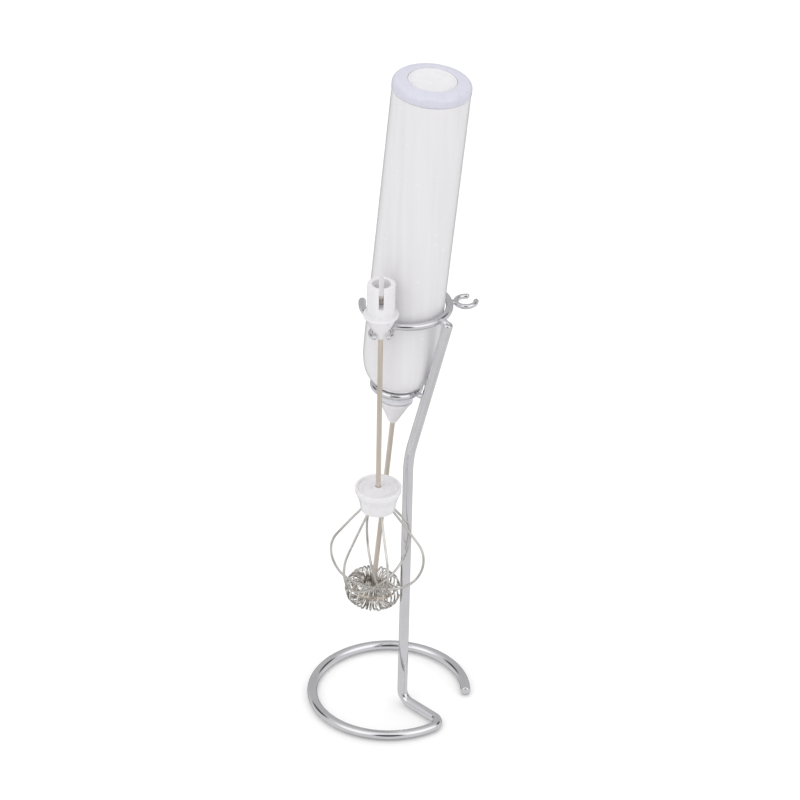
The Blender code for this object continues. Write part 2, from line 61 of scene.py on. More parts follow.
def axis_frame(origin, up):
    """Frame with Z along up, and Y as near the row's Y as it can be."""
    x = Vector((0, 1, 0)).cross(up).normalized()
    y = up.cross(x)
    return Matrix.Translation(origin) @ Matrix((x, y, up)).transposed().to_4x4()


JOINTS = {joint["name"]: joint for joint in frame["joints"]}
UP = Vector(JOINTS["motor_spin"]["axis"]).normalized()
COIL_FLANGE = -44.0           # flange rim of the fitted attachment on the handle's axis
HANDLE = axis_frame(Vector(JOINTS["motor_spin"]["pos_m"]) - UP * COIL_FLANGE * MM, UP)

SHAFT_R = 1.0
SHAFT_STUB = 7.2
shaft_low, shaft_high = (Vector(corner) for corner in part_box("whisk_shaft"))
side = SHAFT_R * MM
whisk_foot = Vector((shaft_low.x + side, (shaft_low.y + shaft_high.y) / 2, shaft_low.z))
whisk_head = Vector((shaft_high.x - side, (shaft_low.y + shaft_high.y) / 2, shaft_high.z))
WHISK_UP = (whisk_head - whisk_foot).normalized()
WHISK = axis_frame(whisk_head - WHISK_UP * SHAFT_STUB * MM, WHISK_UP)

BASE_RING_R = 32.0
BASE_WIRE_R = 2.0
stand_low, stand_high = (Vector(corner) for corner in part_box("stand_wire"))
reach = (BASE_RING_R + BASE_WIRE_R) * MM
STAND = Matrix.Translation((stand_low.x + reach, stand_high.y - reach, 0.0))


# ---------------------------------------------------------- materials

class Shader:
    """A Principled material with small helpers for procedural detail."""

    def __init__(self, name, colour, **sockets):
        self.material = bpy.data.materials.new(name)
        self.material.use_nodes = True
        self.tree = self.material.node_tree
        self.principled = self.tree.nodes["Principled BSDF"]
        self.set("Base Color", (*colour, 1.0))
        for socket, value in sockets.items():
            self.set(socket.replace("_", " "), value)
        self.space = self.tree.nodes.new("ShaderNodeTexCoord").outputs["Object"]

    def set(self, socket, value):
        self.principled.inputs[socket].default_value = value

    def link(self, start, end):
        self.tree.links.new(start, end)

    def stretched(self, scale, turn=(0.0, 0.0, 0.0)):
        """Object space turned and then stretched, for grain along an axis."""
        mapping = self.tree.nodes.new("ShaderNodeMapping")
        mapping.inputs["Rotation"].default_value = turn
        mapping.inputs["Scale"].default_value = scale
        self.link(self.space, mapping.inputs["Vector"])
        return mapping.outputs["Vector"]

    def noise(self, scale, detail=3.0, rough=0.5, vector=None):
        node = self.tree.nodes.new("ShaderNodeTexNoise")
        node.inputs["Scale"].default_value = scale
        node.inputs["Detail"].default_value = detail
        node.inputs["Roughness"].default_value = rough
        self.link(vector or self.space, node.inputs["Vector"])
        return node.outputs["Fac"]

    def cells(self, scale):
        node = self.tree.nodes.new("ShaderNodeTexVoronoi")
        node.inputs["Scale"].default_value = scale
        self.link(self.space, node.inputs["Vector"])
        return node.outputs["Distance"]

    def spread(self, factor, low, high, start=0.3, end=0.7):
        """Remap a factor to a range of numbers."""
        node = self.tree.nodes.new("ShaderNodeMapRange")
        node.inputs["From Min"].default_value = start
        node.inputs["From Max"].default_value = end
        node.inputs["To Min"].default_value = low
        node.inputs["To Max"].default_value = high
        self.link(factor, node.inputs["Value"])
        return node.outputs["Result"]

    def tint(self, factor, low, high, start=0.35, end=0.65):
        """Colour that runs between two tones with a factor."""
        ramp = self.tree.nodes.new("ShaderNodeValToRGB")
        ramp.color_ramp.elements[0].position = start
        ramp.color_ramp.elements[0].color = (*low, 1.0)
        ramp.color_ramp.elements[1].position = end
        ramp.color_ramp.elements[1].color = (*high, 1.0)
        self.link(factor, ramp.inputs["Fac"])
        self.link(ramp.outputs["Color"], self.principled.inputs["Base Color"])

    def roughen(self, factor, low, high):
        self.link(self.spread(factor, low, high), self.principled.inputs["Roughness"])

    def bump(self, *layers):
        """Layers of (height factor, depth in metres), one on another."""
        normal = None
        for factor, depth in layers:
            node = self.tree.nodes.new("ShaderNodeBump")
            node.inputs["Strength"].default_value = 1.0
            node.inputs["Distance"].default_value = depth
            self.link(factor, node.inputs["Height"])
            if normal:
                self.link(normal, node.inputs["Normal"])
            normal = node.outputs["Normal"]
        self.link(normal, self.principled.inputs["Normal"])


def tone(colour, amount):
    return tuple(min(1.0, channel * amount) for channel in colour)


def chrome():
    """Bright plating: near-mirror, with faint waviness and handling haze."""
    shader = Shader("chrome_plating", (0.77, 0.765, 0.80), Metallic=1.0, Roughness=0.06)
    haze = shader.noise(90.0, 4.0)
    shader.tint(haze, (0.745, 0.74, 0.77), (0.80, 0.795, 0.825))
    shader.roughen(shader.noise(260.0, 5.0, 0.6), 0.04, 0.10)
    shader.bump((shader.noise(140.0, 2.0), 2e-5), (shader.noise(2200.0, 2.0), 1e-6))
    return shader.material


def shaft_steel():
    """Plain stainless wire with a warm cast and fine drawing lines."""
    shader = Shader("shaft_steel", (0.60, 0.545, 0.475), Metallic=1.0, Roughness=0.3)
    lines = shader.noise(1.0, 4.0, 0.6, shader.stretched((2600.0, 2600.0, 60.0), (0, -0.05, 0)))
    shader.tint(lines, (0.65, 0.58, 0.50), (0.85, 0.77, 0.68), 0.3, 0.7)
    shader.roughen(lines, 0.34, 0.5)
    shader.bump((lines, 6e-6))
    return shader.material


def whisk_steel():
    """Bright balloon wire, a little duller where it was bent."""
    shader = Shader("whisk_steel", (0.62, 0.60, 0.56), Metallic=1.0, Roughness=0.2)
    shader.tint(shader.noise(120.0, 3.0), (0.58, 0.56, 0.53), (0.84, 0.82, 0.79))
    shader.roughen(shader.noise(500.0, 4.0), 0.14, 0.30)
    shader.bump((shader.noise(3000.0, 2.0), 4e-6))
    return shader.material


def spring_steel():
    """Fine bright spring wire with painted reflection contrast: darker and brighter stretches at
    random.
    """
    shader = Shader("spring_steel", (0.66, 0.64, 0.60), Metallic=1.0, Roughness=0.14)
    # painted reflection and shade: the dark and bright stretches stand in for mirrored highlights and
    # dark gaps between loops
    shader.tint(shader.noise(420.0, 3.0), (0.36, 0.33, 0.30), (0.90, 0.88, 0.85), 0.38, 0.56)
    shader.roughen(shader.noise(900.0, 3.0), 0.08, 0.2)
    shader.bump((shader.noise(4200.0, 2.0), 3e-6))
    return shader.material


def gloss_plastic(name, colour, rough=(0.2, 0.28), streak=0.975, glow=0.06):
    """Glossy moulding: faint streaks along the axis, flow marks that also serve as painted reflection,
    and a fine skin.
    """
    shader = Shader(name, colour, Subsurface_Weight=glow, Coat_Weight=0.35, Coat_Roughness=0.16)
    shader.set("Subsurface Radius", (0.0015, 0.0013, 0.0014))
    shader.set("Subsurface Scale", 1.0)
    # painted reflection: the darker streaks along the axis stand in for soft reflected streaks on the
    # gloss, as well as flow marks
    flow_and_reflection_streaks = shader.noise(1.0, 3.0, 0.55, shader.stretched((330.0, 330.0, 7.0), (0, -0.1, 0)))
    shader.tint(flow_and_reflection_streaks, tone(colour, streak), tone(colour, 1.02), 0.35, 0.65)
    shader.roughen(shader.noise(320.0, 4.0, 0.6), *rough)
    shader.bump((shader.noise(3200.0, 2.0), 2e-7))
    return shader.material


def frosted_plastic():
    """Translucent bushing: milky, bluish, softly lit from inside."""
    colour = (0.81, 0.815, 0.885)
    shader = Shader("frosted_bushing", colour, Transmission_Weight=0.08, Subsurface_Weight=0.5,
                    IOR=1.49, Roughness=0.3)
    shader.set("Subsurface Radius", (0.003, 0.003, 0.0035))
    shader.set("Subsurface Scale", 1.0)
    shader.tint(shader.noise(300.0, 3.0), tone(colour, 0.94), tone(colour, 1.05))
    shader.roughen(shader.noise(900.0, 3.0), 0.3, 0.45)
    shader.bump((shader.noise(1800.0, 3.0), 6e-6))
    return shader.material


def textured_plastic(name, colour):
    """Moulded inner part with a spark-eroded skin."""
    shader = Shader(name, colour, Roughness=0.5)
    shader.tint(shader.noise(180.0, 3.0), tone(colour, 0.88), tone(colour, 1.1))
    shader.roughen(shader.noise(1200.0, 4.0), 0.42, 0.6)
    shader.bump((shader.noise(2400.0, 4.0, 0.7), 2.5e-5))
    return shader.material


def plated_steel(name, colour):
    """Plated pressing with faint spangle."""
    shader = Shader(name, colour, Metallic=1.0, Roughness=0.3)
    shader.tint(shader.cells(420.0), tone(colour, 0.86), tone(colour, 1.1), 0.1, 0.7)
    shader.roughen(shader.noise(700.0, 4.0), 0.22, 0.4)
    shader.bump((shader.noise(1600.0, 3.0), 8e-6))
    return shader.material


def cell_jacket():
    """Shrink-wrapped cell jacket: satin film with fine wrinkles."""
    colour = (0.055, 0.16, 0.26)
    shader = Shader("cell_jacket", colour, Metallic=0.35, Roughness=0.3, Coat_Weight=0.4)
    rings = shader.noise(1.0, 3.0, 0.5, shader.stretched((120.0, 120.0, 700.0), (0, -0.1, 0)))
    shader.tint(rings, tone(colour, 0.85), tone(colour, 1.2))
    shader.roughen(shader.noise(400.0, 3.0), 0.22, 0.36)
    shader.bump((rings, 1.5e-5))
    return shader.material


def soft_pvc(name, colour):
    """Lead insulation: slightly waxy, with extrusion lines."""
    shader = Shader(name, colour, Roughness=0.45, Subsurface_Weight=0.1)
    shader.set("Subsurface Radius", (0.001, 0.0005, 0.0005))
    lines = shader.noise(1.0, 2.0, 0.5, shader.stretched((1800.0, 1800.0, 40.0)))
    shader.tint(lines, tone(colour, 0.85), tone(colour, 1.15))
    shader.roughen(lines, 0.38, 0.52)
    shader.bump((lines, 8e-6))
    return shader.material


CHROME = chrome()
SHAFT = shaft_steel()
WIRE = whisk_steel()
SPRING = spring_steel()
WHITE = gloss_plastic("white_gloss", (0.728, 0.718, 0.736))
COLLAR_WHITE = gloss_plastic("collar_white", (0.745, 0.735, 0.757), (0.26, 0.34), 0.985, 0.15)
LAVENDER = gloss_plastic("lavender_gloss", (0.60, 0.605, 0.69), (0.26, 0.32), 0.985, 0.08)
FROSTED = frosted_plastic()
GREY = textured_plastic("inner_grey", (0.33, 0.34, 0.36))
BLACK = textured_plastic("inner_black", (0.03, 0.03, 0.032))
CAN = plated_steel("motor_can_plating", (0.60, 0.60, 0.60))
CONTACT = plated_steel("contact_plating", (0.78, 0.66, 0.42))
JACKET = cell_jacket()
RED = soft_pvc("red_insulation", (0.50, 0.03, 0.02))
BLACK_PVC = soft_pvc("black_insulation", (0.03, 0.03, 0.03))


# -------------------------------------------------------- mesh makers

def finish_piece(name, mesh, place, look, body, nodes=()):
    """Put a mesh in its frame as a smooth-shaded piece that rides on a body."""
    mesh.transform(place)
    mesh.shade_smooth()
    mesh.set_sharp_from_angle(angle=radians(40))
    mesh.materials.append(look)
    piece = bpy.data.objects.new(name, mesh)
    bpy.context.scene.collection.objects.link(piece)
    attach(piece, body)
    if nodes:
        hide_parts(*nodes)
    return piece


def rounded(profile, steps=5, closed=True):
    """Points of an outline whose corners are given as (radius, height, fillet)."""
    count = len(profile)
    path = []
    for k, (r, z, fillet) in enumerate(profile):
        corner = Vector((r, z))
        if fillet == 0 or (not closed and k in (0, count - 1)):
            path.append(corner)
            continue
        back = Vector(profile[k - 1][:2]) - corner
        ahead = Vector(profile[(k + 1) % count][:2]) - corner
        half = back.angle(ahead) / 2
        run = min(fillet / max(1e-6, sin(half)) * cos(half), back.length * 0.48, ahead.length * 0.48)
        size = run * sin(half) / max(1e-6, cos(half))
        start = corner + back.normalized() * run
        end = corner + ahead.normalized() * run
        centre = corner + (back.normalized() + ahead.normalized()).normalized() * (size / sin(half))
        first, last = start - centre, end - centre
        turn = first.angle_signed(last)
        for step in range(steps + 1):
            angle = -turn * step / steps
            spoke = Vector((first.x * cos(angle) - first.y * sin(angle),
                            first.x * sin(angle) + first.y * cos(angle)))
            path.append(centre + spoke)
    return [(point.x, point.y) for point in path]


def revolve(path, steps=128, closed=True):
    """Mesh of a solid of revolution; path runs down the outer side."""
    cage = bmesh.new()
    rings = []
    for r, z in path:
        if r < 1e-6:
            rings.append([cage.verts.new((0.0, 0.0, z * MM))])
            continue
        turns = (2 * pi * k / steps for k in range(steps))
        rings.append([cage.verts.new((r * MM * cos(a), r * MM * sin(a), z * MM)) for a in turns])
    pairs = list(zip(rings, rings[1:])) + ([(rings[-1], rings[0])] if closed else [])
    for upper, lower in pairs:
        for k in range(steps):
            n = (k + 1) % steps
            if len(upper) == 1 and len(lower) == 1:
                continue
            if len(upper) == 1:
                cage.faces.new((upper[0], lower[k], lower[n]))
            elif len(lower) == 1:
                cage.faces.new((upper[k], lower[0], upper[n]))
            else:
                cage.faces.new((upper[k], lower[k], lower[n], upper[n]))
    bmesh.ops.recalc_face_normals(cage, faces=cage.faces)
    mesh = bpy.data.meshes.new("revolved")
    cage.to_mesh(mesh)
    cage.free()
    return mesh


def sweep(path, radius, sides=20, closed=False, end_round=0.6):
    """Mesh of a round wire along a path, with rounded ends where it is open.

    The section keeps its turn from point to point, so nothing twists.
    """
    spots = [Vector(point) for point in path]
    sizes = [radius] * len(spots)
    if not closed:
        first = (spots[0] - spots[1]).normalized()
        last = (spots[-1] - spots[-2]).normalized()
        trim = radius * end_round
        bends = [pi / 2 * k / 4 for k in range(5)]
        head = [spots[0] + first * trim * (sin(a) - 1.0) for a in reversed(bends)]
        tail = [spots[-1] + last * trim * (sin(a) - 1.0) for a in bends]
        slim = [radius - trim * (1.0 - cos(a)) for a in bends]
        inner = [k for k in range(1, len(spots) - 1)
                 if (spots[k] - spots[0]).length > trim and (spots[k] - spots[-1]).length > trim]
        spots = head + [spots[k] for k in inner] + tail
        sizes = list(reversed(slim)) + [radius] * len(inner) + slim
    count = len(spots)
    along = []
    for k in range(count):
        before = spots[k - 1] if closed or k else spots[k]
        after = spots[(k + 1) % count] if closed or k < count - 1 else spots[k]
        along.append((after - before).normalized())
    across = along[0].orthogonal().normalized()
    cage = bmesh.new()
    rings = []
    for spot, heading, size in zip(spots, along, sizes):
        across = (across - heading * across.dot(heading)).normalized()
        other = heading.cross(across)
        turns = (2 * pi * k / sides for k in range(sides))
        rings.append([cage.verts.new((spot + (across * cos(a) + other * sin(a)) * size) * MM)
                      for a in turns])
    if closed:                                  # find the turn that closes the tube
        gaps = [(rings[0][k].co - rings[-1][0].co).length for k in range(sides)]
        shift = gaps.index(min(gaps))
    pairs = [(a, b, 0) for a, b in zip(rings, rings[1:])]
    pairs += [(rings[-1], rings[0], shift)] if closed else []
    for near, far, skip in pairs:
        for k in range(sides):
            n = (k + 1) % sides
            cage.faces.new((near[k], near[n], far[(n + skip) % sides], far[(k + skip) % sides]))
    if not closed:
        cage.faces.new(reversed(rings[0]))
        cage.faces.new(rings[-1])
    bmesh.ops.recalc_face_normals(cage, faces=cage.faces)
    mesh = bpy.data.meshes.new("swept")
    cage.to_mesh(mesh)
    cage.free()
    return mesh


def circle(radius, start, end, steps, centre=(0.0, 0.0, 0.0)):
    """Points of a level arc, angles in degrees."""
    base = Vector(centre)
    angles = (radians(start + (end - start) * k / steps) for k in range(steps + 1))
    return [base + Vector((radius * cos(a), radius * sin(a), 0.0)) for a in angles]


def fillet(before, corner, after, radius, steps=12):
    """Points of the arc that rounds a corner of a path."""
    back = (before - corner).normalized()
    ahead = (after - corner).normalized()
    half = back.angle(ahead) / 2
    run = radius / sin(half) * cos(half)
    centre = corner + (back + ahead).normalized() * (radius / sin(half))
    first = (corner + back * run - centre).normalized()
    last = (corner + ahead * run - centre).normalized()
    return [centre + first.slerp(last, k / steps) * radius for k in range(steps + 1)]


def line(start, end, spacing):
    """Evenly spaced points between two points, without the ends."""
    count = max(2, ceil((end - start).length / spacing))
    return [start.lerp(end, k / count) for k in range(1, count)]


def smooth_curve(points, steps):
    """Catmull-Rom curve through the points."""
    spots = [Vector(point) for point in points]
    spots = [spots[0] * 2 - spots[1]] + spots + [spots[-1] * 2 - spots[-2]]
    path = []
    for a, b, c, d in zip(spots, spots[1:], spots[2:], spots[3:]):
        for k in range(steps):
            t = k / steps
            path.append(0.5 * (2 * b + (c - a) * t + (2 * a - 5 * b + 4 * c - d) * t**2
                               + (3 * b - a - 3 * c + d) * t**3))
    return path + [spots[-2]]


def bead(name, centre, size, along, body):
    """Weld bead: a small lumpy saddle of metal between two wires."""
    cage = bmesh.new()
    bmesh.ops.create_uvsphere(cage, u_segments=28, v_segments=18, radius=1.0)
    turn = along.to_track_quat("Z", "Y").to_matrix()
    for vertex in cage.verts:
        ripple = 1.0 + 0.09 * smooth_noise(vertex.co * 2.3 + centre * 0.37)
        shape = Vector((vertex.co.x * size[0], vertex.co.y * size[1], vertex.co.z * size[2]))
        vertex.co = (centre + turn @ shape * ripple) * MM
    mesh = bpy.data.meshes.new(name)
    cage.to_mesh(mesh)
    cage.free()
    return finish_piece(name, mesh, STAND, CHROME, body)


# -------------------------------------------------------------- stand

BASE_FREE_END = -3.0
BASE_SPOKE = 314.0
BASE_BEND_R = 4.5
POST_FOOT_R = 8.0
FOOT_BEND_R = 4.5
KNEE_BEND_R = 60.0
KNEE = Vector((8.1, -8.5, 123.2))
POST_TIP = Vector((23.7, -16.8, 191.2))
RING_WIRE_R = 1.45
RING_GAP = 0.3                # between the upper ring and its hooks
HOOK_WIRE_R = 1.0
HOOP_R = {"upper_ring": 17.3, "lower_ring": 9.2}
UPPER_ENDS = (171.0, 392.0)   # azimuths of the upper ring's free ends
UPPER_TILT = 2.0              # degrees, right side down
LOWER_TILT = 4.5
HOOK_SPOTS = {                # azimuth from the upper ring's centre, radius
    "left_hook": (246.9, 4.25),
    "right_hook": (9.0, 4.0),
}
LEFT_HOOK_GAP = (-90.0, 54.0)     # centre and width of the opening, degrees
RIGHT_HOOK_GAP = (43.0, 54.0)


def in_stand(point):
    """A place in metres, told in the stand's frame in millimetres."""
    return (STAND.inverted() @ Vector(point)) / MM


def stand_tube():
    """Base ring, spoke, post and neck, as one bent and polished wire."""
    inside = BASE_RING_R - BASE_BEND_R
    swing = degrees(asin(BASE_BEND_R / inside))
    ring_end = BASE_SPOKE - swing
    path = circle(BASE_RING_R, BASE_FREE_END, ring_end, 220, (0, 0, BASE_WIRE_R))
    centre = Vector((cos(radians(ring_end)), sin(radians(ring_end)), 0)) * inside
    centre.z = BASE_WIRE_R
    path += circle(BASE_BEND_R, ring_end, ring_end + 90 + swing, 16, centre)[1:]
    outward = Vector((cos(radians(BASE_SPOKE)), sin(radians(BASE_SPOKE)), 0))
    foot = outward * POST_FOOT_R + Vector((0, 0, BASE_WIRE_R))
    rise = fillet(path[-1], foot, KNEE, FOOT_BEND_R)
    knee = fillet(foot, KNEE, POST_TIP, KNEE_BEND_R)
    path += line(path[-1], rise[0], 2.0) + rise + line(rise[-1], knee[0], 3.0)
    path += knee + line(knee[-1], POST_TIP, 3.0) + [POST_TIP]
    mesh = sweep(path, BASE_WIRE_R, sides=32, end_round=0.5)
    finish_piece("stand_tube", mesh, STAND, CHROME, "stand", ["stand_wire"])


def hoop(name, node, tilt, ends=None):
    """Ring of wire where the CAD ring is; returns its centre, radius and turn.

    Its place comes from the left and front sides of the box, which neither
    the weld stub nor the free ends change.
    """
    low, high = (in_stand(corner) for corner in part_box(node))
    radius = HOOP_R[node]
    inset = radius + RING_WIRE_R
    centre = Vector((low.x + inset, low.y + inset, (low.z + high.z) / 2))
    turn = Matrix.Rotation(radians(tilt), 3, "Y")
    if ends:
        spots = circle(radius, *ends, 110)
    else:
        spots = circle(radius, 0, 360, 160)[:-1]
    path = [turn @ point + centre for point in spots]
    mesh = sweep(path, RING_WIRE_R, sides=28, closed=not ends, end_round=0.75)
    finish_piece(name, mesh, STAND, CHROME, "stand", [node])
    return centre, radius, turn


def hook(name, node, opening, width):
    """Open wire ring with rounded ends, at the CAD hook's place."""
    place = HOOKS[node]
    start = opening + width / 2
    path = circle(place["radius"], start, start + 360 - width, 90, place["centre"])
    mesh = sweep(path, HOOK_WIRE_R, sides=20, end_round=0.9)
    finish_piece(name, mesh, STAND, CHROME, "stand", [node])


def hook_places(upper_centre, tilt):
    """Centres of the two hooks, beside the upper ring at their azimuths."""
    places = {}
    for node, (azimuth, radius) in HOOK_SPOTS.items():
        away = HOOP_R["upper_ring"] + RING_WIRE_R + RING_GAP + HOOK_WIRE_R + radius
        angle = radians(azimuth)
        drop = sin(radians(tilt)) * away * cos(angle)
        centre = upper_centre + Vector((away * cos(angle), away * sin(angle), -drop))
        places[node] = {"centre": centre, "radius": radius}
    return places


stand_tube()
upper_centre, upper_r, upper_turn = hoop("upper_hoop", "upper_ring", UPPER_TILT, UPPER_ENDS)
lower_centre, lower_r = hoop("lower_hoop", "lower_ring", LOWER_TILT)[:2]
HOOKS = hook_places(upper_centre, UPPER_TILT)
hook("left_hook_wire", "left_hook", *LEFT_HOOK_GAP)
hook("right_hook_wire", "right_hook", *RIGHT_HOOK_GAP)


def weld_beads():
    """Beads where the rings meet the post and the hooks meet the upper ring."""
    lean = (POST_TIP - KNEE).normalized()
    for node, place in HOOKS.items():
        toward = (upper_centre - place["centre"]).normalized()
        spot = place["centre"] + toward * (place["radius"] + HOOK_WIRE_R + 0.1)
        tangent = toward.cross(Vector((0, 0, 1)))
        bead(f"weld_{node}", spot, (1.0, 0.85, 1.5), tangent, "stand")
    beside = KNEE + lean * ((lower_centre.z - KNEE.z) / lean.z)
    inward = (lower_centre - beside).normalized()
    gap = (lower_centre - beside).length - lower_r - RING_WIRE_R - BASE_WIRE_R
    spot = beside + inward * (BASE_WIRE_R + gap / 2)
    bead("weld_lower_ring", spot, (1.15, 1.15, gap / 2 + 1.3), inward, "stand")
    outward = Vector((POST_TIP.x - upper_centre.x, POST_TIP.y - upper_centre.y, 0)).normalized()
    near = upper_centre + upper_turn @ (outward * upper_r)
    bridge = near - POST_TIP
    bead("weld_upper_ring", (near + POST_TIP) / 2, (1.4, 1.4, bridge.length / 2 + 0.3),
         bridge.normalized(), "stand")


weld_beads()


# ------------------------------------------------------------- handle

BODY_TOP = 96.6
BODY_TOP_R = 15.42
BODY_MID_R = 15.1
SHOULDER = -13.0
SHOULDER_R = 15.15
SHOULDER_DEPTH = 23.85
SHOULDER_POWER = 3.6
BODY_BOTTOM = -35.8
WALL = 1.6
NOSE_BOTTOM = -43.35
NOSE_R = 7.2
SLEEVE_R = 5.5


def body_radius(height):
    """Outer radius of the housing: slight taper, then a rounded shoulder."""
    if height > 0:
        return BODY_MID_R + (BODY_TOP_R - BODY_MID_R) * height / BODY_TOP
    if height > SHOULDER:
        return BODY_MID_R + (SHOULDER_R - BODY_MID_R) * height / SHOULDER
    drop = (SHOULDER - height) / SHOULDER_DEPTH
    return SHOULDER_R * (1 - drop**SHOULDER_POWER) ** (1 / SHOULDER_POWER)


def housing():
    """Seamless shell with a fine lead-in at its mouth."""
    end = BODY_BOTTOM + 1.3
    bowl = [SHOULDER + (end - SHOULDER) * (k / 26) ** 0.5 for k in range(1, 27)]
    heights = [BODY_TOP - 4.0, 60.0, 20.0, 6.0, 0.0, -6.0, SHOULDER] + bowl
    outer = [(body_radius(z), z) for z in heights]
    edge = rounded([(body_radius(BODY_TOP) - WALL, BODY_TOP, 0.3), (BODY_TOP_R, BODY_TOP, 0.35),
                    (body_radius(BODY_TOP - 4.0), BODY_TOP - 4.0, 0.0)], closed=False)[1:-1]
    last = outer[-1][0]
    hole = NOSE_R + 0.2
    base = rounded([(last, end, 0), (last - 0.95, BODY_BOTTOM, 1.1), (hole, BODY_BOTTOM, 0.25),
                    (hole, BODY_BOTTOM + WALL, 0.1), (last - 1.7, BODY_BOTTOM + WALL, 0.5)],
                   closed=False)[1:]
    inner = [(body_radius(z) - WALL, z) for z in reversed(heights[:-4])]
    top = [(body_radius(BODY_TOP) - WALL, BODY_TOP - 0.3)]
    mesh = revolve(edge + outer + base + inner + top, 160)
    finish_piece("housing_shell", mesh, HANDLE, WHITE, "handle", ["housing"])


def nose():
    """Frosted bushing under the shoulder."""
    bore = SLEEVE_R + 0.3
    flange = BODY_BOTTOM + WALL + 0.2
    profile = [(8.3, flange + 1.4, 0.2), (8.3, flange, 0.1), (NOSE_R, flange, 0.1),
               (NOSE_R, BODY_BOTTOM - 2.6, 0.2), (NOSE_R - 0.28, BODY_BOTTOM - 3.0, 0.2),
               (NOSE_R - 0.28, BODY_BOTTOM - 3.5, 0.2), (NOSE_R, BODY_BOTTOM - 3.9, 0.2),
               (NOSE_R, NOSE_BOTTOM, 0.6), (bore, NOSE_BOTTOM, 0.25), (bore, flange + 1.4, 0.2)]
    mesh = revolve(rounded(profile), 96)
    finish_piece("nose_bushing", mesh, HANDLE, FROSTED, "handle", ["nose_collar"])


housing()
nose()

# ---------------------------------------------------------------- cap

CAP_TOP = 101.0
CAP_R = 15.6
BUTTON_R = 9.6
CAP_LEDGE = 98.6              # the button's flange stops under it
SKIRT_BOTTOM = 90.4
SKIRT_BORE_R = 11.9
BUTTON_FLANGE = 98.3
BUTTON_FLANGE_R = 11.3
BUTTON_STEM = 94.6            # stem's lower end


def cap_trim():
    """Domed lavender ring with its plug skirt."""
    skirt_r = BODY_TOP_R - WALL - 0.3
    lip = BUTTON_R + 0.35
    dome = [(lip + (CAP_R - 2.3 - lip) * t, CAP_TOP - 0.35 * t**2.2) for t in (k / 8 for k in range(9))]
    corner = dome[-1]
    turn = [(corner[0] + (CAP_R - corner[0]) * sin(a), corner[1] - 2.2 * (1 - cos(a)))
            for a in (radians(9 * k) for k in range(1, 11))]
    low = rounded([turn[-1] + (0,), (CAP_R, BODY_TOP + 0.18, 0.25), (skirt_r, BODY_TOP + 0.18, 0.1),
                   (skirt_r, SKIRT_BOTTOM, 0.4), (SKIRT_BORE_R, SKIRT_BOTTOM, 0.3),
                   (SKIRT_BORE_R, CAP_LEDGE, 0.1), (BUTTON_R + 0.08, CAP_LEDGE, 0.1),
                   (BUTTON_R + 0.08, CAP_TOP, 0.25),
                   dome[0] + (0,)], closed=False)
    mesh = revolve(dome + turn + low[1:-1], 144)
    finish_piece("cap_trim", mesh, HANDLE, LAVENDER, "cap", ["cap_ring"])


def push_button():
    """White button: a raised soft rim round a shallow dish."""
    rim = CAP_TOP - 0.03
    inner, dip, edge_r = 8.0, 0.5, 0.3
    dish = [(inner * k / 14, rim - dip - 0.2 * (1 - (k / 14) ** 2)) for k in range(15)]
    lip = [(inner + (BUTTON_R - edge_r - inner) * t, rim - dip + dip * (3 * t**2 - 2 * t**3))
           for t in (k / 8 for k in range(1, 9))]
    edge = [(BUTTON_R - edge_r + edge_r * sin(a), rim - edge_r * (1 - cos(a)))
            for a in (radians(15 * k) for k in range(1, 7))]
    flange = BUTTON_FLANGE
    low = [(BUTTON_R, flange), (BUTTON_FLANGE_R, flange), (BUTTON_FLANGE_R, flange - 1.2),
           (9.2, flange - 1.2), (9.2, flange - 0.4), (1.5, flange - 0.4),
           (1.5, BUTTON_STEM), (0.0, BUTTON_STEM)]
    mesh = revolve(dish + lip + edge + low, 128, closed=False)
    finish_piece("push_button", mesh, HANDLE, WHITE, "button", ["button"])


cap_trim()
push_button()

# -------------------------------------------------------- attachments

COLLAR_TOP = 13.7
SLEEVE_BORE_R = 3.7
SLOT_WIDTH = 1.9
SLOT_DEPTH = 9.0
FLANGE_R = 7.2
CONE_LENGTH = 11.1
BORE_FLOOR = 4.6              # above the flange's rim


